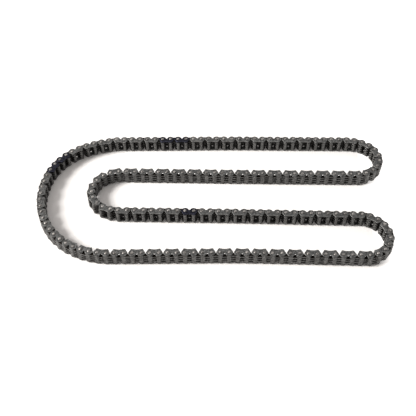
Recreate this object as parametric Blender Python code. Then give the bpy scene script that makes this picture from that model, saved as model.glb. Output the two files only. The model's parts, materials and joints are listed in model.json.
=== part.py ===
"""Silent timing chain, lying on its side in a folded loop.

The chain is one endless loop of toothed link plates on pins.  Guide links, with
a guide plate outside on each side, alternate with inner links.  The loop is
folded in four runs joined by four bights.  The pins stand upright, so every
hinge turns about a vertical axis.

A strand is a stretch of links whose plates and pins are drawn as one piece.
Two strands meet at a real hinge: the pin of a guide link stands in the bored
plates of the next inner link.  Metres, +Z up, +X to the right along the runs.
"""
import math

import bmesh
import bpy
import numpy as np

MM = 0.001

# Link plates
PITCH = 8.0 * MM            # pin to pin
GUIDE_T = 1.0 * MM          # thickness of an outer guide plate
PLATE_T = 3.6 * MM          # thickness of one drawn row of toothed plates
PLATE_ROWS = 3              # rows between the guide plates, odd
ROW_GAP = 0.3 * MM          # free space between one row and the next
SHOULDER_REACH = 3.1 * MM   # how far a plate reaches past its pin
SHOULDER_BACK = 1.1 * MM    # valley in a guide plate's back, above the pin line
SHOULDER_TOOTH = 1.0 * MM   # top of the crotch between the teeth, below it
HUMP_HALF = 1.6 * MM        # half width of a hump's crown
HUMP_RISE = 3.6 * MM        # crown of a hump, and a toothed plate's straight back
TOOTH_DEPTH = 4.9 * MM      # tooth tip below the pin line
TIP_HALF = 1.5 * MM         # half width of a tooth tip

# Pins
PIN_R = 1.45 * MM
PIN_SIDES = 8
HINGE_CLEAR = 0.3 * MM      # between a pin and the bore that turns on it

# Loop: links in each run and bight, and the direction of each pair of arms
ARM_LINKS = 11              # straight arms at both ends of every run
CENTRE_LINKS = (8, 8, 7, 8)
BIGHT_LINKS = (10, 10, 9, 28)
ARM_HEADINGS = (-0.73, -1.06, -1.6, 0.58)  # degrees, one for each bight
BIGHT_TURNS = (-180.0, 180.0, -180.0, -180.0)
BIGHT_EASE = (0.34, 0.26, 0.12, 0.1)       # 0 is an even bend, 1 is a sine
BIGHT_SKEW = (0.3, -0.35, 0.31, -0.81)     # bend moved towards the start
BIGHT_FLAT = (0.0, 0.0, 0.0, 0.49)         # bend taken out of the middle
FLAT_POWER = 6                             # how narrow that middle part is
CLOSING_STEPS = 12                         # rounds of closing the loop
MARKS = (6, 8, 88, 166, 168)               # guide links with a blued upper plate

# Strands of the loop in order, as (name, links); the runs begin at the far left
RUN_NAMES = ("back_run", "upper_middle_run", "lower_middle_run", "front_run")
BIGHT_NAMES = ("right_back_bight", "inner_left_bight", "right_front_bight",
               "left_outer_bight")
BIGHT_PARTS = (1, 1, 1, 4)

# Colours, roughness and metallic values
STEEL = ((0.085, 0.078, 0.070, 1.0), 0.38, 0.9)
BLUED = ((0.018, 0.017, 0.028, 1.0), 0.30, 0.9)


def bend_shares(pins, ease, skew, flat):
    """Share of a bight's turn at each of its pins."""
    u = (np.arange(pins) + 0.5) / pins
    wave = np.sin(math.pi * u)
    share = wave ** ease * (1 + skew * np.cos(math.pi * u)) * (1 - flat * wave ** FLAT_POWER)
    return share / share.sum()


def first_bends():
    """Turn at every pin before the loop is closed, and each bight's pins."""
    run_links = [2 * ARM_LINKS + centre for centre in CENTRE_LINKS]
    links = sum(run_links) + sum(BIGHT_LINKS)
    bends = np.zeros(links)
    bight_pins = []
    first = 0
    for i, run in enumerate(run_links):
        # The centre of a run bends from one pair of arms to the next
        change = ARM_HEADINGS[i] - ARM_HEADINGS[i - 1]
        centre = first + ARM_LINKS + 1 + np.arange(CENTRE_LINKS[i] - 1)
        bends[centre] = change / (CENTRE_LINKS[i] - 1)
        start = first + run
        pins = (start + np.arange(BIGHT_LINKS[i] + 1)) % links
        shares = bend_shares(len(pins), BIGHT_EASE[i], BIGHT_SKEW[i], BIGHT_FLAT[i])
        bends[pins] = BIGHT_TURNS[i] * shares
        bight_pins.append(pins)
        first = start + BIGHT_LINKS[i]
    return np.radians(bends), bight_pins


def pins_from(bends):
    """Pin places and link headings, from the turn at every pin."""
    turned = np.cumsum(bends[1:])
    first = math.radians(ARM_HEADINGS[-1])
    headings = np.concatenate([[first], first + turned])
    steps = PITCH * np.column_stack([np.cos(headings), np.sin(headings)])
    places = np.vstack([[0.0, 0.0], np.cumsum(steps, axis=0)])
    return places, headings


def close_loop():
    """Pins of the closed loop: the smallest change of bend spread over the bights."""
    bends, bight_pins = first_bends()
    for _ in range(CLOSING_STEPS):
        places, headings = pins_from(bends)
        miss = places[-1] - places[0]
        # A turn at pin k swings the loop's end about that pin
        arm = places[-1] - places[:-1]
        swing = np.vstack([-arm[:, 1], arm[:, 0]])
        rows = [swing[0], swing[1]]
        for pins in bight_pins:
            row = np.zeros(len(bends))
            row[pins] = PITCH
            rows.append(row)
        free = np.zeros(len(bends))
        for pins in bight_pins:
            free[pins[pins > 0]] = 1.0
        wanted = np.concatenate([-miss, np.zeros(len(bight_pins))])
        bends = bends + np.linalg.pinv(np.array(rows) * free) @ wanted * free
    places, headings = pins_from(bends)
    places = places[:-1]
    middle = (places.min(axis=0) + places.max(axis=0)) / 2
    return places - middle, headings


def strand_table():
    """Every strand in loop order, as (name, first link, links)."""
    table = []
    first = 0
    for i, run in enumerate(RUN_NAMES):
        sides = ("left", "right") if i % 2 == 0 else ("right", "left")
        for side, links in ((sides[0], ARM_LINKS), ("centre", CENTRE_LINKS[i]), (sides[1], ARM_LINKS)):
            table.append((f"{run}_{side}_strand", first, links))
            first += links
        parts = BIGHT_PARTS[i]
        cuts = [round(BIGHT_LINKS[i] * k / parts) for k in range(parts + 1)]
        for k in range(parts):
            name = BIGHT_NAMES[i] if parts == 1 else f"{BIGHT_NAMES[i]}_{k + 1}"
            table.append((name, first + cuts[k], cuts[k + 1] - cuts[k]))
        first += BIGHT_LINKS[i]
    return table


def plate_rows():
    """Bottom and top of each row, from the lower guide plate to the upper one."""
    rows = [(0.0, GUIDE_T)]
    for _ in range(PLATE_ROWS):
        low = rows[-1][1] + ROW_GAP
        rows.append((low, low + PLATE_T))
    low = rows[-1][1] + ROW_GAP
    rows.append((low, low + GUIDE_T))
    return rows


ROWS = plate_rows()
TOPSIDE = ROWS[-1][1]

# Plan outline of a plate's end round its pin: x towards the next link, y to the back
END_OUTLINE = {
    "fore_back": (SHOULDER_REACH, SHOULDER_BACK),
    "fore_hump": (HUMP_HALF, HUMP_RISE),
    "aft_hump": (-HUMP_HALF, HUMP_RISE),
    "aft_back": (-SHOULDER_REACH, SHOULDER_BACK),
    "aft_tooth": (-SHOULDER_REACH, -SHOULDER_TOOTH),
    "aft_tip": (-TIP_HALF, -TOOTH_DEPTH),
    "fore_tip": (TIP_HALF, -TOOTH_DEPTH),
    "fore_tooth": (SHOULDER_REACH, -SHOULDER_TOOTH),
}


class Stack:
    """Plan cells with the heights that each one fills, turned into one closed mesh."""

    def __init__(self):
        self.points = {}
        self.cells = []

    def cell(self, names, fills):
        self.cells.append((names, fills))

    def place_end(self, pin, centre, heading, bore=None):
        """Add the plan points of a plate end, and those of its pin or bore."""
        cos, sin = math.cos(heading), math.sin(heading)
        outline = dict(END_OUTLINE)
        if bore is not None:
            for k in range(PIN_SIDES):
                angle = 2 * math.pi * (k + 0.5) / PIN_SIDES
                outline[k] = (bore * math.cos(angle), bore * math.sin(angle))
        for name, (x, y) in outline.items():
            self.points[pin, name] = (centre[0] + x * cos - y * sin, centre[1] + x * sin + y * cos)

    def solid_end(self, pin, fills):
        self.cell([(pin, name) for name in END_OUTLINE], fills)

    def bored_end(self, pin, fills):
        """A plate end round a bore, in two halves that meet on two lines."""
        half = PIN_SIDES // 2
        up = half // 2
        down = up + half - 1
        aft = ["aft_hump", "aft_back", "aft_tooth", "aft_tip"]
        fore = ["aft_tip", "fore_tip", "fore_tooth", "fore_back", "fore_hump", "aft_hump"]
        aft_bore = list(range(down, up - 1, -1))
        fore_bore = list(range(up, -1, -1)) + list(range(PIN_SIDES - 1, down - 1, -1))
        self.cell([(pin, name) for name in aft + aft_bore], fills)
        self.cell([(pin, name) for name in fore + fore_bore], fills)

    def pin_core(self, pin):
        self.cell([(pin, k) for k in range(PIN_SIDES)], [(0.0, TOPSIDE)])

    def web(self, aft, fore, fills):
        """The middle of a toothed plate, between the valley and the crotch."""
        self.cell([(aft, "fore_tooth"), (fore, "aft_tooth"), (fore, "aft_back"), (aft, "fore_back")], fills)

    def back_web(self, aft, fore, fills):
        """The straight back of a toothed plate, from one hump to the other."""
        self.cell([(aft, "fore_back"), (fore, "aft_back"), (fore, "aft_hump"), (aft, "fore_hump")], fills)

    def guide_web(self, aft, fore, fills):
        """The part of a guide plate that closes the crotch of the plates below."""
        self.cell([(aft, "fore_tip"), (fore, "aft_tip"), (fore, "aft_tooth"), (aft, "fore_tooth")], fills)

    def side_faces(self):
        """Upright faces: what each cell fills less what its neighbour fills."""
        filled = {}
        for names, fills in self.cells:
            for a, b in zip(names, names[1:] + names[:1]):
                filled[a, b] = fills
        faces = []
        for (a, b), fills in filled.items():
            for low, high in fills:
                for part in open_spans(low, high, filled.get((b, a), [])):
                    faces.append((a, b, *part))
        return faces

    def to_mesh(self, name, origin):
        sides = self.side_faces()
        levels = {point: set() for point in self.points}
        for names, fills in self.cells:
            for point in names:
                levels[point].update(z for fill in fills for z in fill)
        for a, b, low, high in sides:
            levels[a].update((low, high))
            levels[b].update((low, high))
        mesh_builder = bmesh.new()
        corners = {}

        def corner(point, z):
            if (point, z) not in corners:
                x, y = self.points[point]
                corners[point, z] = mesh_builder.verts.new((x - origin[0], y - origin[1], z))
            return corners[point, z]

        for names, fills in self.cells:
            for low, high in fills:
                mesh_builder.faces.new([corner(point, high) for point in names])
                mesh_builder.faces.new([corner(point, low) for point in reversed(names)])
        for a, b, low, high in sides:
            down = [z for z in sorted(levels[a], reverse=True) if low <= z <= high]
            up = [z for z in sorted(levels[b]) if low <= z <= high]
            mesh_builder.faces.new([corner(a, z) for z in down] + [corner(b, z) for z in up])
        mesh = bpy.data.meshes.new(name)
        mesh_builder.to_mesh(mesh)
        mesh_builder.free()
        return mesh


def open_spans(low, high, covered):
    """The parts of a height span that no covered span fills."""
    spans = []
    for bottom, top in sorted(covered):
        if bottom >= high or top <= low:
            continue
        if bottom > low:
            spans.append((low, bottom))
        low = max(low, top)
    if low < high:
        spans.append((low, high))
    return spans


def is_guide(link):
    return link % 2 == 0


def rows_of(link):
    """Rows that a link fills in its strand: a marked link's upper plate is apart."""
    rows = ROWS[0::2] if is_guide(link) else ROWS[1::2]
    return rows[:-1] if link in MARKS else rows


def add_end(stack, pin, link, centre, heading):
    """The free end of a strand: a standing pin on a guide link, bores on an inner one."""
    if is_guide(link):
        stack.place_end(pin, centre, heading, PIN_R)
        stack.pin_core(pin)
    else:
        stack.place_end(pin, centre, heading, PIN_R + HINGE_CLEAR)
    stack.bored_end(pin, rows_of(link))


def strand_mesh(name, first, links, places, headings, origin):
    """One strand: posts at its inner pins, webs between them, and two hinge ends."""
    stack = Stack()
    count = len(places)
    last = first + links
    add_end(stack, first, first, places[first % count], headings[first % count])
    for pin in range(first + 1, last):
        here = pin % count
        middle = (headings[here - 1] + headings[here]) / 2
        if here == 0:
            middle += math.pi * round(sum(BIGHT_TURNS) / 360.0)
        marked = pin in MARKS or pin - 1 in MARKS
        stack.place_end(pin, places[here], middle, PIN_R if marked else None)
        if marked:
            stack.bored_end(pin, [(0.0, ROWS[-2][1])])
            stack.pin_core(pin)
        else:
            stack.solid_end(pin, [(0.0, TOPSIDE)])
    add_end(stack, last, last - 1, places[last % count], headings[(last - 1) % count])
    for link in range(first, last):
        rows = rows_of(link)
        outer = [row for row in rows if row in (ROWS[0], ROWS[-1])]
        stack.web(link, link + 1, rows)
        stack.back_web(link, link + 1, [row for row in rows if row not in outer])
        if outer:
            stack.guide_web(link, link + 1, outer)
    return stack.to_mesh(name, origin)


def guide_plate_mesh(name, link, places, headings, origin):
    """A guide plate of its own, bored for the two pins it is pressed on."""
    stack = Stack()
    fills = [ROWS[-1]]
    for pin in (link, link + 1):
        stack.place_end(pin, places[pin], headings[link], PIN_R + HINGE_CLEAR)
        stack.bored_end(pin, fills)
    stack.web(link, link + 1, fills)
    stack.guide_web(link, link + 1, fills)
    return stack.to_mesh(name, origin)


def steel_material(name, look):
    colour, roughness, metallic = look
    material = bpy.data.materials.new(name)
    material.use_nodes = True
    shader = material.node_tree.nodes["Principled BSDF"]
    shader.inputs["Base Color"].default_value = colour
    shader.inputs["Roughness"].default_value = roughness
    shader.inputs["Metallic"].default_value = metallic
    return material


def add_piece(name, mesh, origin, look):
    piece = bpy.data.objects.new(name, mesh)
    piece.location = (origin[0], origin[1], 0.0)
    mesh.materials.append(steel_material(name + "_steel", look))
    bpy.context.scene.collection.objects.link(piece)
    return piece


def build():
    for old in list(bpy.data.objects):
        bpy.data.objects.remove(old)
    places, headings = close_loop()
    strands = strand_table()
    for name, first, links in strands:
        origin = places[first % len(places)]
        mesh = strand_mesh(name, first, links, places, headings, origin)
        add_piece(name, mesh, origin, STEEL)
    for number, link in enumerate(MARKS, start=1):
        name = f"marked_guide_plate_{number}"
        origin = places[link]
        add_piece(name, guide_plate_mesh(name, link, places, headings, origin), origin, BLUED)


build()
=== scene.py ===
"""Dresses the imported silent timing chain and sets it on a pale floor.

The solids carry the chain in stretches of seven to eleven links. This script lays the real stack
on the same pins: nine layers of stamped plates, laced link by link on domed pins. A guide link has
two guide plates and three toothed plates, an inner link has four toothed plates, and five of the
upper guide plates are blued as timing marks. Every piece rides on the body of its stretch.
"""

import json
import math

import bpy
import numpy as np
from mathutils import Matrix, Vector

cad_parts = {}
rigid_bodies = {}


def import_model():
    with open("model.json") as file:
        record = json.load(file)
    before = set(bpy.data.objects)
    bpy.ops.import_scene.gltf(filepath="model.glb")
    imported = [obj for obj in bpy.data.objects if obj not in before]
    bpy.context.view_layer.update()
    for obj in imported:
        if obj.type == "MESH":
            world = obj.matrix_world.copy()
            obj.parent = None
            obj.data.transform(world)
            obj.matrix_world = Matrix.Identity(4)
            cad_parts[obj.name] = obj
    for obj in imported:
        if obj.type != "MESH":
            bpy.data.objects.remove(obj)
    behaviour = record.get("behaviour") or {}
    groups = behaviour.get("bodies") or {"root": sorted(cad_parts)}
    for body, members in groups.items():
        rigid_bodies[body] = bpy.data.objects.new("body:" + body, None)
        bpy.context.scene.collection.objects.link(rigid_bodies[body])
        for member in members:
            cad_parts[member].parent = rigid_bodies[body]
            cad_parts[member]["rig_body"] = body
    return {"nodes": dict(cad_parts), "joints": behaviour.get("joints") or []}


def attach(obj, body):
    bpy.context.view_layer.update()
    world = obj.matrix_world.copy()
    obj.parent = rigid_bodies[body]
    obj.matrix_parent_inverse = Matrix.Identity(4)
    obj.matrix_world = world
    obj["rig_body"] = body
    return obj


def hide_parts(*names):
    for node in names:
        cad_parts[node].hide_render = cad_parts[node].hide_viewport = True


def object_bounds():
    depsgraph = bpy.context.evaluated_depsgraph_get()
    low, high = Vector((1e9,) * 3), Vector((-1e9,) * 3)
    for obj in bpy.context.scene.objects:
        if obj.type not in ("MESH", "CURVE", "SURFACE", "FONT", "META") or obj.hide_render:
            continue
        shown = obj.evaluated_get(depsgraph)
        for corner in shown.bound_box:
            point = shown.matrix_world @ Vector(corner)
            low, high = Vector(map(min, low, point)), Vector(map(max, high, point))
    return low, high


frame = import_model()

bl_info = {
    "name": "Silent timing chain dressing",
    "version": (1, 0, 0),
    "blender": (4, 5, 0),
    "location": "3D View > Sidebar > Timing chain",
    "description": "Lays the plates and pins of a silent timing chain on its packed frame",
    "category": "Object",
}

MM = 0.001
CAD_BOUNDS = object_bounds()
UNDERSIDE, TOPSIDE = CAD_BOUNDS[0][2], CAD_BOUNDS[1][2]

# How the loop lies: links of each stretch, and headings and turns in degrees to the left
PITCH = 8.0 * MM
ARM_LINKS = 11
CENTRE_LINKS = (8, 8, 7, 8)
BIGHT_LINKS = (10, 10, 9, 28)
ARM_HEADINGS = (-0.73, -1.06, -1.6, 0.58)
BIGHT_TURNS = (-180.0, 180.0, -180.0, -180.0)
MARKED_LINKS = (6, 8, 88, 166, 168)

# How each bight's turn is shared among its pins: a low ease spreads it evenly, skew leans it to
# one end, and flat takes some from the middle, over a stretch that a higher power makes shorter
BIGHT_EASE = (0.34, 0.26, 0.12, 0.1)
BIGHT_SKEW = (0.3, -0.35, 0.31, -0.81)
BIGHT_FLAT = (0.0, 0.0, 0.0, 0.49)
FLAT_POWER = 6
CLOSING_STEPS = 12

# Names of the stretches, as in the frame, and into how many parts each bight is cut
RUN_NAMES = ("back_run", "upper_middle_run", "lower_middle_run", "front_run")
BIGHT_NAMES = ("right_back_bight", "inner_left_bight", "right_front_bight", "left_outer_bight")
BIGHT_PARTS = (1, 1, 1, 4)

# The stack of nine layers: guide plates outside, the two kinds of link by turns between them
LAYERS = 9
GUIDE_ROWS = (0, 8)
GUIDE_LINK_ROWS = (2, 4, 6)
INNER_LINK_ROWS = (1, 3, 5, 7)

# A toothed plate: the arc of its crotch in degrees, where its flank ends below the pins as a
# share of the back's height, and the steps of its shoulder as shares of the shoulder's length
CROTCH_ARC = (90.0, 10.0)
FLANK_END = 0.4
SHOULDER_FOOT = 1.5
SHOULDER_STEP = (0.4, 0.65)

# A guide plate: where the hump of its back begins, in degrees round the pin
HUMP_START = 38.0

# Points along half a crotch, half a guide plate's tooth side, a hump, half a hollow, a small
# corner and a guide plate's large corner
CROTCH_POINTS = 4
BAR_POINTS = 5
HUMP_POINTS = 8
HOLLOW_POINTS = 4
CORNER_POINTS = 3
GUIDE_CORNER_POINTS = 4

# A pin's domed head: angles of its rings, in degrees from the rim to the flat on top
DOME_RINGS = (0.0, 18.0, 36.0, 54.0, 74.0)

# Wear and painted shade of a face: 1 is rubbed bright, 0 as made, and below zero darkened as
# painted shade, with some oil
# Painted shade with some oil: crotches, flanks and ends of toothed plates, the lowest guide plate
SHADE_AND_OIL = -0.55
# Painted shade along the middle of a toothed plate's back, between the pins
BACK_SHADE = -0.16
# Painted shade round the foot of each pin's domed head
FOOT_SHADE = -0.8
# Painted shade on the upper and lower faces of the toothed plates, between the layers
SHADE_BETWEEN_PLATES = -1.0
RUBBED = 0.25
BACK_WEAR = 0.2
TOOTH_WEAR = 0.4
TOP_WEAR = 0.15
# Bands of a pin's head from its flat top to its rim: painted shade on the two at the rim
HEAD_SHADE = (0.0, 0.0, FOOT_SHADE, FOOT_SHADE)

# Where the random draws of each kind of piece begin, and the step from stretch to stretch
GUIDE_SEED = 5000
PIN_SEED = 7000
MARK_SEED = 9000
SEED_STEP = 100

# How far a hinge of the frame may be from its pin, and the angle from which an edge is sharp
NEAR_ENOUGH = 0.05 * MM
SHARP_EDGE = math.radians(32)

# Patterns on the steel: cycles per metre, octaves of detail, how much each octave adds, and
# between which values of the noise the pattern runs from nothing to full
CLOUDS = (260.0, 4.0, 0.5, 0.32, 0.68)
SPOTS = (620.0, 2.0, 0.5, 0.42, 0.60)
STAINS = (150.0, 6.0, 0.65, 0.55, 0.70)
SHEEN = (700.0, 3.0, 0.5, 0.3, 0.7)
DENTS = (1600.0, 3.0, 0.5)

# Tones of the steel. A pair is how much of a tone is mixed in, and that tone as a share of the
# colour: spots, and what the darkest plate gets. Rubbed and the painted shade with oil are how
# much they cover, and that painted shade's tone is a share of the stain colour.
CLOUD_TONES = (0.78, 1.22)
DARK_SPOT = (0.75, 0.3)
LIGHT_SPOT = (0.55, 2.3)
DARK_PLATE = (0.5, 0.70)
RUBBED_SHARE = 0.75
SHADE_AND_OIL_SHARE = 0.92
SHADE_AND_OIL_TONE = 0.4
SHEEN_SPAN = (-0.07, 0.09)
DENT_STRENGTH = 0.25
DENT_DEPTH = 0.03 * MM

# What sets the pins and the blued plates apart from the other plates
PLATE_STAINS = 0.55
PIN_STAINS = 0.45
PIN_ROUGHNESS = 0.42
BLUED_STAINS = 0.15
BLUED_SMOOTHER = 0.2
BLUED_METALLIC = 0.9
BLUED_WORN_TONE = 2.6

# The studio. Heights and depths of the backdrop are parts of a direction of length 1, and its
# ceiling and sides are shares of the full light
FLOOR_HALF = 4.0
CLEAR_WIDTH = 15.0 * MM
CEILING_RISE = (0.70, 0.98)
CEILING_LIGHT = 0.12
ROOM_DEPTH = (-0.8, 0.6)
ROOM_LIGHT = (0.8, 1.15)
ROOM_TINT = (1.0, 0.955, 0.925, 1.0)
FLOOR_GLOW = (1.0, 0.985, 0.97, 1.0)
LAMP_TINT = (1.0, 0.985, 0.96)
WHITE = (1.0, 1.0, 1.0, 1.0)
SENSOR_WIDTH = 36.0
CLIP_START = 0.01


def bend_shares(pins, ease, skew, flat):
    """How a bight's turn is shared among its pins: a power of half a sine wave along the bight,
    tilted by a cosine and pressed down in the middle."""
    u = (np.arange(pins) + 0.5) / pins
    wave = np.sin(math.pi * u)
    share = wave ** ease * (1 + skew * np.cos(math.pi * u)) * (1 - flat * wave ** FLAT_POWER)
    return share / share.sum()


def first_bends():
    """The turn at every pin before the ends meet, in radians, and the pins of each bight."""
    run_links = [2 * ARM_LINKS + centre for centre in CENTRE_LINKS]
    links = sum(run_links) + sum(BIGHT_LINKS)
    bends = np.zeros(links)
    bight_pins = []
    first = 0
    for i, run in enumerate(run_links):
        change = ARM_HEADINGS[i] - ARM_HEADINGS[i - 1]
        centre = first + ARM_LINKS + 1 + np.arange(CENTRE_LINKS[i] - 1)
        bends[centre] = change / (CENTRE_LINKS[i] - 1)
        start = first + run
        pins = (start + np.arange(BIGHT_LINKS[i] + 1)) % links
        shares = bend_shares(len(pins), BIGHT_EASE[i], BIGHT_SKEW[i], BIGHT_FLAT[i])
        bends[pins] = BIGHT_TURNS[i] * shares
        bight_pins.append(pins)
        first = start + BIGHT_LINKS[i]
    return np.radians(bends), bight_pins


def pins_from(bends):
    """Headings are the running sum of the turns, and pins the running sum of one pitch along
    each heading."""
    first = math.radians(ARM_HEADINGS[-1])
    headings = np.concatenate([[first], first + np.cumsum(bends[1:])])
    steps = PITCH * np.column_stack([np.cos(headings), np.sin(headings)])
    return np.vstack([[0.0, 0.0], np.cumsum(steps, axis=0)]), headings


def close_loop():
    """Pins and headings of the closed loop. Each step finds the smallest change of the
    bights' bends that brings the last pin onto the first and keeps each bight's turn."""
    bends, bight_pins = first_bends()
    free = np.zeros(len(bends))
    turns = np.zeros((len(bight_pins), len(bends)))
    for row, pins in zip(turns, bight_pins):
        free[pins[pins > 0]] = 1.0
        row[pins] = PITCH
    for _ in range(CLOSING_STEPS):
        places, headings = pins_from(bends)
        miss = places[-1] - places[0]
        arm = places[-1] - places[:-1]
        rows = np.vstack([-arm[:, 1], arm[:, 0], turns]) * free
        wanted = np.concatenate([-miss, np.zeros(len(turns))])
        bends = bends + np.linalg.pinv(rows) @ wanted * free
    places, headings = pins_from(bends)
    places = places[:-1]
    middle = (places.min(axis=0) + places.max(axis=0)) / 2
    return places - middle, headings


def strand_table():
    """Every stretch of the loop in order, as (node, first link, links)."""
    table = []
    first = 0
    for i, run in enumerate(RUN_NAMES):
        sides = ("left", "right") if i % 2 == 0 else ("right", "left")
        stretches = ((sides[0], ARM_LINKS), ("centre", CENTRE_LINKS[i]), (sides[1], ARM_LINKS))
        for side, links in stretches:
            table.append((f"{run}_{side}_strand", first, links))
            first += links
        parts = BIGHT_PARTS[i]
        cuts = [round(BIGHT_LINKS[i] * k / parts) for k in range(parts + 1)]
        for k in range(parts):
            name = BIGHT_NAMES[i] if parts == 1 else f"{BIGHT_NAMES[i]}_{k + 1}"
            table.append((name, first + cuts[k], cuts[k + 1] - cuts[k]))
        first += BIGHT_LINKS[i]
    return table


PLACES, HEADINGS = close_loop()
STRANDS = strand_table()


def check_hinges():
    """Stops the script if a hinge of the frame isn't on a pin of this loop."""
    for joint in frame["joints"]:
        away = np.hypot(*(PLACES - np.array(joint["pos_m"][:2])).T).min()
        if away > NEAR_ENOUGH:
            raise RuntimeError(f"the hinge {joint['name']} is {away / MM:.2f} mm off its pin")


def arc(centre, radius, start, end, count):
    """Points on a circle at even angles: centre plus radius times cosine and sine."""
    angle = np.radians(np.linspace(start, end, count))
    return np.array(centre) + radius * np.column_stack([np.cos(angle), np.sin(angle)])


def mirrored(points, middle):
    """The points reflected in the line across the link's middle, in reverse order."""
    return np.column_stack([2 * middle - points[:, 0], points[:, 1]])[::-1]


def both_halves(fore, wear_and_shade_values, middle):
    """A whole outline, and the wear of each of its sides, from the fore half of both."""
    aft = mirrored(fore, middle)
    return np.vstack([fore, aft[1:-1]]), np.concatenate([wear_and_shade_values, wear_and_shade_values[::-1]])


def back_edge(hump, dip, lowest):
    """The fore half of a guide plate's back, from its end to the middle of the hollow. A round
    hump stands about the pin, and the hollow is the circle that touches both humps from outside."""
    half = PITCH / 2
    hollow = (half ** 2 + dip ** 2 - hump ** 2) / (2 * (hump - dip))
    lean = math.degrees(math.atan2(dip + hollow, half))
    over = arc((PITCH, 0.0), hump, lowest, 180 - lean, HUMP_POINTS)
    under = arc((half, dip + hollow), hollow, -lean, -90, HOLLOW_POINTS)
    return np.vstack([over, under[1:]])


def eased(before, corner, after, reach, count):
    """A corner rounded off: the parabola that touches both sides at the reach from the corner."""
    before, corner, after = (np.array(point) for point in (before, corner, after))
    start = corner + reach * (before - corner) / np.linalg.norm(before - corner)
    end = corner + reach * (after - corner) / np.linalg.norm(after - corner)
    t = np.linspace(0.0, 1.0, count)[:, None]
    return (1 - t) ** 2 * start + 2 * t * (1 - t) * corner + t ** 2 * end


def toothed_outline(sizes):
    """A toothed plate seen from above, anticlockwise from the middle of its crotch. Each end is a
    tooth with straight flanks, the crotch between the teeth is a half round, and the back runs
    straight from pin to pin and falls off in three steps past each of them. Also gives the wear
    and painted shade of each side: the tips and the back behind the pins are rubbed, the crotch,
    the flanks and the end get painted shade with some oil, and the rest of the back a little
    painted shade."""
    tip, depth, half = sizes.tooth_half_width, sizes.tooth_depth, PITCH / 2
    end, back, fall = PITCH + sizes.plate_reach, sizes.hump_radius, sizes.shoulder
    crotch = arc((half, -sizes.crotch_depth), sizes.crotch_radius, *CROTCH_ARC, CROTCH_POINTS)
    near, far, side = (PITCH - tip, -depth), (PITCH + tip, -depth), (end, -FLANK_END * back)
    out, down = SHOULDER_STEP
    fore = np.vstack([
        crotch,
        eased(crotch[-1], near, far, sizes.corner, CORNER_POINTS),
        eased(near, far, side, sizes.corner, CORNER_POINTS),
        [side],
        [(end, back - SHOULDER_FOOT * fall), (end - out * fall, back - down * fall)],
        [(end - fall, back), (PITCH - sizes.rubbed_reach, back), (half, back)],
    ])
    # Along the outline: the crotch and the flank up to the tip, the tip with its two corners,
    # the flank and the end, the shoulder with the back behind the pin, and the rest of the back
    tip_sides = 2 * CORNER_POINTS - 1
    # Painted shade with some oil on the crotch, flanks and end; a little painted shade mid-back
    wear_and_shade_values = [SHADE_AND_OIL] * CROTCH_POINTS + [RUBBED] * tip_sides + [SHADE_AND_OIL] * 2 + [RUBBED] * 3 + [BACK_SHADE]
    return both_halves(fore, np.array(wear_and_shade_values), half)


def guide_outline(sizes):
    """A guide plate seen from above, anticlockwise from the middle of its tooth side. That side
    is a shallow parabola between two corners, and each flank runs straight to the shoulder. Also
    gives the wear of the broken edge: bright on the tooth side and the flanks, less on the back."""
    depth, half = sizes.guide_depth, PITCH / 2
    back = back_edge(sizes.hump_radius, sizes.guide_hollow, HUMP_START)
    tip = (PITCH + sizes.guide_tip, -depth)
    shoulder = (PITCH + sizes.guide_reach, 0.0)
    u = np.linspace(0.0, 1.0, BAR_POINTS, endpoint=False)
    bar = np.column_stack([half + (tip[0] - half) * u, -depth + sizes.guide_waist * (1 - u ** 2)])
    fore = np.vstack([
        bar,
        eased(bar[-1], tip, shoulder, sizes.guide_corner, GUIDE_CORNER_POINTS),
        eased(tip, shoulder, back[0], sizes.corner, CORNER_POINTS),
        back,
    ])
    wear_and_shade_values = np.full(len(fore) - 1, BACK_WEAR)
    wear_and_shade_values[:len(fore) - len(back)] = 1.0
    return both_halves(fore, wear_and_shade_values, half)


def drawn_in(outline, amount):
    """The outline moved inwards along its normal, which is its tangent turned to the left."""
    tangent = np.roll(outline, -1, axis=0) - np.roll(outline, 1, axis=0)
    tangent /= np.linalg.norm(tangent, axis=1)[:, None]
    return outline + amount * np.column_stack([-tangent[:, 1], tangent[:, 0]])


def ring_faces(rings, sides):
    """Four-sided faces between neighbouring rings of points, and a face over each end."""
    k, i = np.meshgrid(np.arange(rings - 1), np.arange(sides), indexing="ij")
    here, there = k * sides, (k + 1) * sides
    along = (i + 1) % sides
    quads = np.stack([here + i, here + along, there + along, there + i], -1)
    caps = np.stack([np.arange(sides)[::-1], (rings - 1) * sides + np.arange(sides)])
    return quads.reshape(-1, 4), caps


def stamped(outline, low, high, edge, edge_wear_and_shade, side_wear_and_shade, face_wear_and_shade):
    """A stamped plate: the outline at four heights, drawn in by the broken edge at the lowest and
    the highest."""
    inner = drawn_in(outline, edge)
    rings = [(inner, low), (outline, low + edge), (outline, high - edge), (inner, high)]
    points = np.vstack([np.column_stack([ring, np.full(len(ring), z)]) for ring, z in rings])
    quads, caps = ring_faces(len(rings), len(outline))
    around = np.ones(len(outline))
    bands = [edge_wear_and_shade * around, side_wear_and_shade * around, edge_wear_and_shade * around]
    return points, quads, caps, np.concatenate([*bands, [face_wear_and_shade, face_wear_and_shade]])


def turned(profile, sides, band_wear_and_shade):
    """A profile of radius and height swept round the pin's axis: radius times cosine and sine.
    Each band between two rings has its own wear, which below zero is painted shade."""
    angle = 2 * math.pi * np.arange(sides) / sides
    round_ = np.column_stack([np.cos(angle), np.sin(angle)])
    flat = profile[:, 0][:, None, None] * round_[None]
    height = np.broadcast_to(profile[:, 1][:, None, None], (*flat.shape[:2], 1))
    quads, caps = ring_faces(len(profile), sides)
    wear_and_shade = np.concatenate([np.repeat(band_wear_and_shade, sides), [0.0, 0.0]])
    return np.concatenate([flat, height], -1).reshape(-1, 3), quads, caps, wear_and_shade


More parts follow.
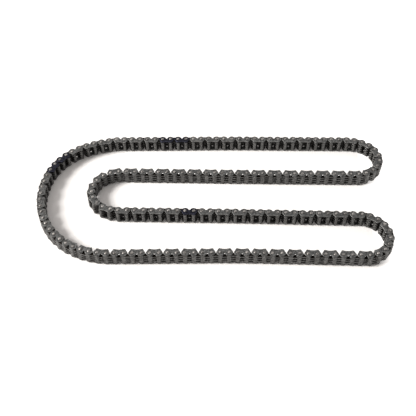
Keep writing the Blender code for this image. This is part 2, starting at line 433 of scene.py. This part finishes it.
def domed_pin(sizes):
    """A pin from its lower to its upper head. Each head is a quarter of an ellipse turned round
    the axis: radius times cosine across, and the head's rise times sine upwards."""
    radius, rise = sizes.pin_radius, sizes.head_rise
    angle = np.radians(DOME_RINGS)
    across, up = radius * np.cos(angle), rise * np.sin(angle)
    lower = np.column_stack([across[::-1], UNDERSIDE + rise - up[::-1]])
    upper = np.column_stack([across, TOPSIDE - rise + up])
    # Painted shade round the foot of each head, and the same darkening on the shaft in the plates
    band_wear_and_shade = [*HEAD_SHADE, SHADE_AND_OIL, *HEAD_SHADE[::-1]]
    return turned(np.vstack([lower, upper]), sizes.pin_sides, band_wear_and_shade)


def row_heights(sizes):
    """Lowest and highest level of the nine layers, between the heads of the pins. The toothed
    plates share what the guide plates and the play between layers leave."""
    stack = TOPSIDE - UNDERSIDE - 2 * sizes.head_rise
    toothed = LAYERS - len(GUIDE_ROWS)
    plate = (stack - 2 * sizes.guide_thickness - (LAYERS - 1) * sizes.layer_play) / toothed
    thick = np.full(LAYERS, plate)
    thick[list(GUIDE_ROWS)] = sizes.guide_thickness
    below = np.concatenate([[0.0], np.cumsum(thick[:-1] + sizes.layer_play)])
    low = UNDERSIDE + sizes.head_rise + below
    return np.column_stack([low, low + thick])


def laid(shape, links, sway=0.0, seed=0):
    """A copy of a shape on each link: turned by the link's heading, moved to the link's first pin
    and, for a plate that has play on its pins, swayed a little sideways."""
    points, quads, caps, wear_and_shade = shape
    draw = np.random.default_rng(seed)
    across = draw.uniform(-sway, sway, len(links))
    cos, sin = np.cos(HEADINGS[links])[:, None], np.sin(HEADINGS[links])[:, None]
    x, y = points[:, 0], points[:, 1] + across[:, None]
    copies = np.stack([
        PLACES[links, 0][:, None] + cos * x - sin * y,
        PLACES[links, 1][:, None] + sin * x + cos * y,
        np.broadcast_to(points[:, 2], (len(links), len(points))),
    ], -1)
    tone = np.repeat(draw.uniform(0.0, 1.0, len(links)), len(wear_and_shade))
    return copies.reshape(-1, 3), shape, tone, len(links)


def gathered(groups):
    """All copies of several shapes as one set of points, faces, and the tone and the wear and
    painted shade of each face.
    """
    points, faces, tones, wear_and_shade = [], [], [], []
    start = 0
    for copies, (single, quads, caps, wear_and_shade_values), tone, count in groups:
        for first in start + len(single) * np.arange(count):
            faces += (quads + first).tolist() + (caps + first).tolist()
        points.append(copies)
        tones.append(tone)
        wear_and_shade.append(np.tile(wear_and_shade_values, count))
        start += len(copies)
    return np.vstack(points), faces, np.concatenate(tones), np.concatenate(wear_and_shade)


def add_piece(name, node, groups, material, replaces):
    """Makes one mesh of the groups and lets it ride on the body of its node."""
    points, faces, tones, wear_and_shade = gathered(groups)
    mesh = bpy.data.meshes.new(name)
    mesh.from_pydata(points.tolist(), [], faces, shade_flat=False)
    for key, values in (("tone", tones), ("wear_and_shade", wear_and_shade)):
        mesh.attributes.new(key, "FLOAT", "FACE").data.foreach_set("value", values)
    mesh.set_sharp_from_angle(angle=SHARP_EDGE)
    mesh.materials.append(material)
    if mesh.validate():
        raise RuntimeError(f"the mesh of {name} had faults")
    piece = bpy.data.objects.new(name, mesh)
    bpy.context.scene.collection.objects.link(piece)
    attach(piece, frame["nodes"][node]["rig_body"])
    if replaces:
        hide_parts(node)


def guide_links(first, links):
    """The guide links of a stretch: every link with an even number."""
    own = np.arange(first, first + links)
    return own[own % 2 == 0]


def inner_links(first, links):
    """The inner links of a stretch: every link with an odd number."""
    own = np.arange(first, first + links)
    return own[own % 2 == 1]


class NodeTree:
    """Short calls for the nodes of a material."""

    def __init__(self, tree):
        self.tree = tree

    def node(self, kind, **inputs):
        """A node whose inputs are fed by their names."""
        node = self.tree.nodes.new(kind)
        for key, value in inputs.items():
            self.feed(node.inputs[key.replace("_", " ")], value)
        return node

    def feed(self, socket, value):
        """Links another node's output to an input, or sets the input to a value."""
        if isinstance(value, bpy.types.NodeSocket):
            self.tree.links.new(value, socket)
        else:
            socket.default_value = value

    def fed(self, kind, *values):
        """A node whose first inputs are fed in their order."""
        node = self.tree.nodes.new(kind)
        for index, value in enumerate(values):
            self.feed(node.inputs[index], value)
        return node

    def noise(self, scale, detail, roughness):
        """Soft noise that is fixed to the piece."""
        place = self.node("ShaderNodeTexCoord").outputs["Object"]
        node = self.node("ShaderNodeTexNoise", Vector=place, Scale=scale, Detail=detail,
                         Roughness=roughness)
        return node.outputs["Fac"]

    def attribute(self, name):
        """A value that the mesh holds for each of its faces."""
        node = self.node("ShaderNodeAttribute")
        node.attribute_name = name
        return node.outputs["Fac"]

    def direction(self, coordinates):
        """The parts X, Y and Z of one kind of texture coordinates."""
        place = self.node("ShaderNodeTexCoord").outputs[coordinates]
        return self.fed("ShaderNodeSeparateXYZ", place).outputs

    def ranged(self, value, low, high, to_low, to_high):
        """A value carried from one range to another, and held at its ends."""
        return self.fed("ShaderNodeMapRange", value, low, high, to_low, to_high).outputs[0]

    def pattern(self, pattern, to_low, to_high):
        """A pattern of the steel, running between two values."""
        *noise, low, high = pattern
        return self.ranged(self.noise(*noise), low, high, to_low, to_high)

    def mixed(self, factor, first, second):
        """The first colour at 0, the second at 1, and a mix of both between."""
        node = self.tree.nodes.new("ShaderNodeMix")
        node.data_type = "RGBA"
        self.feed(node.inputs["Factor"], factor)
        for letter, value in (("A", first), ("B", second)):
            sockets = [s for s in node.inputs if s.name == letter and s.type == "RGBA"]
            self.feed(sockets[0], value)
        return [s for s in node.outputs if s.type == "RGBA"][0]

    def maths(self, operation, first, second):
        """Two values worked into one, such as their product or the larger of them."""
        node = self.fed("ShaderNodeMath", first, second)
        node.operation = operation
        return node.outputs[0]

    def bump(self, height, strength, distance):
        """The direction of a surface that such heights would dent."""
        node = self.node("ShaderNodeBump", Strength=strength, Distance=distance, Height=height)
        return node.outputs["Normal"]

    def looked_at(self):
        """1 where the camera, a reflection or clear glass looks, and 0 for light that bounces."""
        path = self.node("ShaderNodeLightPath").outputs
        seen = self.maths("MAXIMUM", path["Is Camera Ray"], path["Is Glossy Ray"])
        return self.maths("MAXIMUM", seen, path["Is Transmission Ray"])


def new_material(name):
    """An empty material, and the short calls for its nodes."""
    material = bpy.data.materials.new(name)
    material.use_nodes = True
    material.node_tree.nodes.clear()
    return material, NodeTree(material.node_tree)


def scaled(colour, by):
    """A colour made lighter or darker, with the fourth value that a socket wants."""
    return (colour[0] * by, colour[1] * by, colour[2] * by, 1.0)


def metal(name, colour, bright, roughness, stain_and_shade, stain_amount, metallic):
    """Tumbled, oiled steel: clouds of tone a few millimetres wide, spots about a millimetre wide,
    a tone of its own on each plate, brown stains, bright rubbed faces, faces darkened as painted
    shade with some oil, and a fine dented surface."""
    material, nodes = new_material(name)
    clouds = nodes.pattern(CLOUDS, 0.0, 1.0)
    base = nodes.mixed(clouds, *(scaled(colour, tone) for tone in CLOUD_TONES))
    spots = nodes.pattern(SPOTS, 0.0, 1.0)
    dark, light = (nodes.mixed(amount, base, scaled(colour, tone))
                   for amount, tone in (DARK_SPOT, LIGHT_SPOT))
    base = nodes.mixed(spots, dark, light)
    own = nodes.ranged(nodes.attribute("tone"), 0.0, 1.0, 0.0, DARK_PLATE[0])
    base = nodes.mixed(own, base, scaled(colour, DARK_PLATE[1]))
    stains = nodes.pattern(STAINS, 0.0, stain_amount)
    base = nodes.mixed(stains, base, scaled(stain_and_shade, 1.0))
    wear_and_shade = nodes.attribute("wear_and_shade")
    rubbed = nodes.ranged(wear_and_shade, 0.0, 1.0, 0.0, RUBBED_SHARE)
    base = nodes.mixed(rubbed, base, scaled(bright, 1.0))
    # Painted shade with some oil: faces below zero darken towards the stain colour
    shade_and_oil = nodes.ranged(wear_and_shade, -1.0, 0.0, SHADE_AND_OIL_SHARE, 0.0)
    base = nodes.mixed(shade_and_oil, base, scaled(stain_and_shade, SHADE_AND_OIL_TONE))
    sheen = nodes.pattern(SHEEN, *(roughness + more for more in SHEEN_SPAN))
    dents = nodes.bump(nodes.noise(*DENTS), DENT_STRENGTH, DENT_DEPTH)
    shader = nodes.node("ShaderNodeBsdfPrincipled", Base_Color=base, Metallic=metallic,
                        Roughness=sheen, Normal=dents)
    nodes.node("ShaderNodeOutputMaterial", Surface=shader.outputs[0])
    return material


def plates_material(finish):
    """The steel of all plates that aren't blued, made only once."""
    made = bpy.data.materials.get("stamped_steel")
    return made or metal("stamped_steel", finish.steel, finish.bright, finish.roughness,
                         finish.stain_and_shade, PLATE_STAINS, 1.0)


def floor_material(stage):
    """White floor that keeps the chain's shadow. Where the camera, a reflection or clear glass
    looks at it, a little light of its own brings it up to the white of the backdrop. Beyond the
    chain's right end more of that light fades the shadow, as on the cleared ground of the photo."""
    material, nodes = new_material("studio_floor")
    clear_to = stage.clear_from + CLEAR_WIDTH
    lift = nodes.ranged(nodes.direction("Object")["X"], stage.clear_from, clear_to,
                        stage.floor_lift, stage.floor_clear)
    paint = nodes.node("ShaderNodeBsdfDiffuse", Color=(*stage.floor, 1.0))
    strength = nodes.maths("MULTIPLY", nodes.looked_at(), lift)
    glow = nodes.node("ShaderNodeEmission", Color=FLOOR_GLOW, Strength=strength)
    both = nodes.fed("ShaderNodeAddShader", paint.outputs[0], glow.outputs[0])
    nodes.node("ShaderNodeOutputMaterial", Surface=both.outputs[0])
    return material


def add_backdrop(scene, stage):
    """White world for the camera, one with a dark ceiling for reflections, and a warm dimmer one
    that lights the chain, less from the camera's side than from behind."""
    world = bpy.data.worlds.new("studio")
    world.use_nodes = True
    world.node_tree.nodes.clear()
    nodes = NodeTree(world.node_tree)
    way = nodes.direction("Generated")
    ceiling = nodes.ranged(way["Z"], *CEILING_RISE, 1.0, CEILING_LIGHT)
    dim = nodes.ranged(way["Y"], *ROOM_DEPTH, *(share * stage.ambient for share in ROOM_LIGHT))
    camera = nodes.node("ShaderNodeLightPath").outputs["Is Camera Ray"]
    bright = nodes.maths("MAXIMUM", camera, ceiling)
    seen = nodes.looked_at()
    light = nodes.node("ShaderNodeBackground", Color=nodes.mixed(seen, ROOM_TINT, WHITE),
                       Strength=nodes.ranged(seen, 0.0, 1.0, dim, bright))
    nodes.node("ShaderNodeOutputWorld", Surface=light.outputs[0])
    scene.world = world


def add_floor(scene, stage):
    """A square floor at the height of the chain's underside."""
    mesh = bpy.data.meshes.new("studio_floor")
    corners = FLOOR_HALF * np.array([[-1, -1, 0], [1, -1, 0], [1, 1, 0], [-1, 1, 0]])
    corners[:, 2] = UNDERSIDE
    mesh.from_pydata(corners.tolist(), [], [(0, 1, 2, 3)])
    mesh.materials.append(floor_material(stage))
    floor = bpy.data.objects.new("studio_floor", mesh)
    scene.collection.objects.link(floor)


def aimed(scene, name, data, place, target):
    """A lamp or camera at a place, turned to look at a target."""
    thing = bpy.data.objects.new(name, data)
    thing.location = place
    thing.rotation_euler = (target - place).to_track_quat("-Z", "Y").to_euler()
    scene.collection.objects.link(thing)
    return thing


def add_key_lamp(scene, stage):
    """A square lamp to the left, at its distance from the middle of the chain."""
    lamp = bpy.data.lights.new("key_lamp", "AREA")
    lamp.size = stage.key_size
    lamp.energy = stage.key_power
    lamp.color = LAMP_TINT
    flat = stage.key_distance * math.cos(stage.key_height)
    place = Vector((-flat * math.cos(stage.key_side), flat * math.sin(stage.key_side),
                    stage.key_distance * math.sin(stage.key_height)))
    aimed(scene, "key_lamp", lamp, place, Vector())


def add_camera(scene, stage):
    """A camera straight in front of where it aims, at the photo's height and tilt."""
    camera = bpy.data.cameras.new("camera")
    camera.lens = stage.lens
    camera.sensor_width = SENSOR_WIDTH
    camera.clip_start = CLIP_START
    back = stage.camera_height / math.tan(stage.camera_tilt)
    target = Vector((stage.aim[0], stage.aim[1], TOPSIDE))
    place = target + Vector((0.0, -back, stage.camera_height))
    scene.camera = aimed(scene, "camera", camera, place, target)


def a_length(name, description, millimetres):
    """A setting given here in millimetres and kept in metres."""
    return bpy.props.FloatProperty(name=name, description=description, default=millimetres * MM,
                                   min=0.0, unit="LENGTH", precision=5)


def an_angle(name, description, degrees):
    """A setting given here in degrees and kept in radians."""
    return bpy.props.FloatProperty(name=name, description=description,
                                   default=math.radians(degrees), subtype="ANGLE")


def an_amount(name, description, value):
    """A setting without a unit, from zero up."""
    return bpy.props.FloatProperty(name=name, description=description, default=value, min=0.0)


def a_colour(name, description, value):
    """A colour setting: red, green and blue from 0 to 1."""
    return bpy.props.FloatVectorProperty(name=name, description=description, default=value,
                                         size=3, min=0.0, max=1.0, subtype="COLOR")


class ChainSizes(bpy.types.PropertyGroup):
    hump_radius: a_length("Hump radius", "From the pins to the back, round on a guide plate", 3.6)
    plate_reach: a_length("Plate reach", "How far a toothed plate's end passes its pin", 2.9)
    shoulder: a_length("Shoulder", "How far a toothed plate's back falls off from its end", 1.4)
    guide_hollow: a_length("Guide hollow", "Back of a guide plate between its humps", 0.6)
    tooth_half_width: a_length("Tooth half width", "Half the flat tip of a tooth", 1.2)
    tooth_depth: a_length("Tooth depth", "From the pins to the tip of a tooth", 4.9)
    rubbed_reach: a_length("Rubbed reach", "How far from its pin a back is rubbed", 1.9)
    crotch_radius: a_length("Crotch radius", "Round root between a plate's two teeth", 2.3)
    crotch_depth: a_length("Crotch depth", "Centre of that root, below the pins", 2.3)
    guide_tip: a_length("Guide tip", "How far a guide plate's tooth side passes its pins", 1.25)
    guide_depth: a_length("Guide depth", "From the pins to a guide plate's corners", 4.95)
    guide_waist: a_length("Guide waist", "Dip in the middle of a guide plate's tooth side", 1.1)
    guide_reach: a_length("Guide reach", "How far a guide plate's shoulder passes its pin", 3.9)
    guide_corner: a_length("Guide corner", "Size of the rounding at a guide plate's corners", 1.1)
    corner: a_length("Corner", "Size of the rounding at a plate's corners", 0.5)
    guide_thickness: a_length("Guide thickness", "Thickness of a guide plate", 1.2)
    layer_play: a_length("Layer play", "Space between neighbouring layers", 0.05)
    broken_edge: a_length("Broken edge", "Width of the broken edge round a toothed plate", 0.12)
    guide_edge: a_length("Guide edge", "Width of the broken edge round a guide plate", 0.2)
    sway: a_length("Sway", "Most that a toothed plate sits off its line", 0.06)
    pin_radius: a_length("Pin radius", "Radius of a pin", 1.6)
    head_rise: a_length("Head rise", "How far a pin's domed head stands proud", 0.62)
    head_shift: a_length("Head shift", "How far the pins of a guide link sit outwards", 0.2)
    pin_sides: bpy.props.IntProperty(name="Pin sides", description="Faces round a pin",
                                     default=14, min=8, max=32)


class ChainFinish(bpy.types.PropertyGroup):
    steel: a_colour("Steel", "Colour of the plates", (0.109, 0.1083, 0.1065))
    bright: a_colour("Bright steel", "Colour of worn edges", (0.268, 0.262, 0.252))
    pin_steel: a_colour("Pin steel", "Colour of the pins", (0.32, 0.300, 0.283))
    blued: a_colour("Blued steel", "Colour of the timing marks", (0.018, 0.0185, 0.028))
    # The stain colour is also the colour that painted shade darkens towards
    stain_and_shade: a_colour("Stain", "Colour of brown stains", (0.040, 0.030, 0.023))
    roughness: bpy.props.FloatProperty(name="Roughness", description="Roughness of the plates",
                                       default=0.65, min=0.0, max=1.0, subtype="FACTOR")


class ChainStage(bpy.types.PropertyGroup):
    lens: an_amount("Lens", "Focal length for a square 36 mm frame, in mm", 60.57)
    camera_height: a_length("Camera height", "From the chain's upper side to the camera", 510.04)
    camera_tilt: an_angle("Camera tilt", "How far the camera looks down", 49.72)
    aim: bpy.props.FloatVectorProperty(name="Aim", default=(-5.65 * MM, -20.2 * MM), size=2,
                                       description="Where the camera looks, on the upper side",
                                       subtype="XYZ", unit="LENGTH")
    key_height: an_angle("Key height", "Key lamp above the horizon", 38)
    key_side: an_angle("Key side", "Key lamp behind the left side, below zero in front of it", -8)
    key_distance: a_length("Key distance", "From the chain to the key lamp", 3000.0)
    key_size: a_length("Key size", "Side of the square key lamp", 1050.0)
    key_power: an_amount("Key power", "Power of the key lamp in watts", 136.0)
    ambient: an_amount("Ambient", "Light from all round", 0.52)
    floor: a_colour("Floor", "Colour of the floor", (0.90, 0.885, 0.875))
    floor_lift: an_amount("Floor lift", "Light of its own that the camera sees", 0.02)
    floor_clear: an_amount("Floor clear", "The same beyond the chain's right end", 0.9)
    clear_from: a_length("Clear from", "Where that clear ground begins, from the middle", 150.0)


class CHAIN_OT_toothed_plates(bpy.types.Operator):
    """Laces the toothed plates of guide links and inner links by turns"""
    bl_idname = "chain.toothed_plates"
    bl_label = "Toothed plates"

    def execute(self, context):
        sizes = context.scene.chain_sizes
        rows = row_heights(sizes)
        outline, side_wear_and_shade = toothed_outline(sizes)
        material = plates_material(context.scene.chain_finish)
        for number, (node, first, links) in enumerate(STRANDS):
            groups = []
            for own, used in ((guide_links, GUIDE_LINK_ROWS), (inner_links, INNER_LINK_ROWS)):
                for row in used:
                    # The upper and lower faces between the layers get painted shade
                    shape = stamped(outline, *rows[row], sizes.broken_edge,
                                    TOOTH_WEAR, side_wear_and_shade, SHADE_BETWEEN_PLATES)
                    seed = SEED_STEP * number + row
                    groups.append(laid(shape, own(first, links), sizes.sway, seed))
            add_piece(f"{node}_toothed_plates", node, groups, material, True)
        return {"FINISHED"}


class CHAIN_OT_guide_plates(bpy.types.Operator):
    """Sets the lower and upper guide plates on the guide links"""
    bl_idname = "chain.guide_plates"
    bl_label = "Guide plates"

    def execute(self, context):
        sizes = context.scene.chain_sizes
        rows = row_heights(sizes)
        outline, edge_wear_and_shade = guide_outline(sizes)
        material = plates_material(context.scene.chain_finish)
        for number, (node, first, links) in enumerate(STRANDS):
            groups = []
            for row in GUIDE_ROWS:
                own = guide_links(first, links)
                if row == GUIDE_ROWS[-1]:
                    own = own[~np.isin(own, MARKED_LINKS)]
                # The lowest guide plate's sides and edges get painted shade with some oil
                lowest_plate_shade = SHADE_AND_OIL if row == GUIDE_ROWS[0] else 0.0
                shape = stamped(outline, *rows[row], sizes.guide_edge,
                                edge_wear_and_shade + lowest_plate_shade, lowest_plate_shade, TOP_WEAR)
                groups.append(laid(shape, own, 0.0, GUIDE_SEED + SEED_STEP * number + row))
            add_piece(f"{node}_guide_plates", node, groups, material, False)
        return {"FINISHED"}


class CHAIN_OT_marked_plates(bpy.types.Operator):
    """Sets the blued guide plates that mark the timing links"""
    bl_idname = "chain.marked_plates"
    bl_label = "Blued guide plates"

    def execute(self, context):
        sizes, finish = context.scene.chain_sizes, context.scene.chain_finish
        low, high = row_heights(sizes)[GUIDE_ROWS[-1]]
        outline, edge_wear_and_shade = guide_outline(sizes)
        shape = stamped(outline, low, high, sizes.guide_edge, edge_wear_and_shade, 0.0, 0.0)
        material = metal("blued_steel", finish.blued, scaled(finish.blued, BLUED_WORN_TONE),
                         finish.roughness - BLUED_SMOOTHER, finish.stain_and_shade, BLUED_STAINS,
                         BLUED_METALLIC)
        for k, link in enumerate(MARKED_LINKS):
            node = f"marked_guide_plate_{k + 1}"
            groups = [laid(shape, np.array([link]), 0.0, MARK_SEED + k)]
            add_piece(f"{node}_blued", node, groups, material, True)
        return {"FINISHED"}


class CHAIN_OT_pins(bpy.types.Operator):
    """Drives the domed pins through the guide links"""
    bl_idname = "chain.pins"
    bl_label = "Pins"

    def execute(self, context):
        sizes, finish = context.scene.chain_sizes, context.scene.chain_finish
        points, *faces_and_wear = domed_pin(sizes)
        ends = ((0.0, -sizes.head_shift), (PITCH, sizes.head_shift))
        material = metal("pin_steel", finish.pin_steel, finish.bright, PIN_ROUGHNESS,
                         finish.stain_and_shade, PIN_STAINS, 1.0)
        for number, (node, first, links) in enumerate(STRANDS):
            own = guide_links(first, links)
            groups = []
            for end, (along, shift) in enumerate(ends):
                pin = points + np.array([along + shift, 0.0, 0.0])
                seed = PIN_SEED + SEED_STEP * number + end
                groups.append(laid((pin, *faces_and_wear), own, 0.0, seed))
            add_piece(f"{node}_pins", node, groups, material, False)
        return {"FINISHED"}


class CHAIN_OT_stage(bpy.types.Operator):
    """Sets the floor, the backdrop, the key lamp and the camera"""
    bl_idname = "chain.stage"
    bl_label = "Stage"

    def execute(self, context):
        scene = context.scene
        for add in (add_floor, add_backdrop, add_key_lamp, add_camera):
            add(scene, scene.chain_stage)
        scene.view_settings.view_transform = "Standard"
        return {"FINISHED"}


GROUPS = {"chain_sizes": ChainSizes, "chain_finish": ChainFinish, "chain_stage": ChainStage}
STEPS = (CHAIN_OT_toothed_plates, CHAIN_OT_guide_plates, CHAIN_OT_marked_plates,
         CHAIN_OT_pins, CHAIN_OT_stage)


class CHAIN_PT_dressing(bpy.types.Panel):
    bl_idname = "CHAIN_PT_dressing"
    bl_label = "Timing chain"
    bl_space_type = "VIEW_3D"
    bl_region_type = "UI"
    bl_category = "Timing chain"

    def draw(self, context):
        for group in GROUPS:
            settings = getattr(context.scene, group)
            box = self.layout.box()
            for key in settings.__annotations__:
                box.prop(settings, key)
        for step in STEPS:
            self.layout.operator(step.bl_idname)


CLASSES = (*GROUPS.values(), *STEPS, CHAIN_PT_dressing)


def register():
    for cls in CLASSES:
        bpy.utils.register_class(cls)
    for key, group in GROUPS.items():
        setattr(bpy.types.Scene, key, bpy.props.PointerProperty(type=group))


def unregister():
    for key in GROUPS:
        delattr(bpy.types.Scene, key)
    for cls in reversed(CLASSES):
        bpy.utils.unregister_class(cls)


def main():
    """Registers the add-on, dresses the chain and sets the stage."""
    register()
    check_hinges()
    bpy.ops.chain.toothed_plates()
    bpy.ops.chain.guide_plates()
    bpy.ops.chain.marked_plates()
    bpy.ops.chain.pins()
    bpy.ops.chain.stage()


if __name__ == "__main__":
    main()
